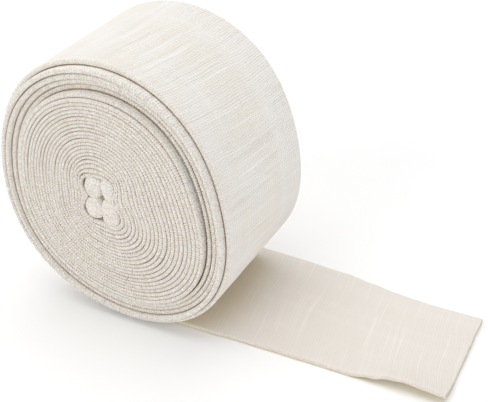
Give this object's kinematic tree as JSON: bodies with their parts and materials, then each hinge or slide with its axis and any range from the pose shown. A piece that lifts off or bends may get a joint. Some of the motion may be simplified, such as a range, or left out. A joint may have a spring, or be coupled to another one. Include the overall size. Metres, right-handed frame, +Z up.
{
  "type": "tubular bandage roll",
  "caption": "Partly unwound roll of ribbed tubular support bandage with its flattened loose end lying out on the surface.",
  "frame": {"origin": "middle of the small flat spot on which the roll stands, halfway across the loose end", "axes": "+X along the loose end, away from the roll; +Y along the winding axis, from the front face to the back; +Z up"},
  "size_m": [0.2195, 0.087, 0.1322],
  "materials": {
    "wound_cloth": "natural unbleached cotton and elastic knit, ribbed",
    "loose_cloth": "natural unbleached cotton and elastic knit, ribbed"
  },
  "bodies": {
    "root": {"wound_roll": "wound_cloth", "loose_end": "loose_cloth"}
  },
  "joints": []
}
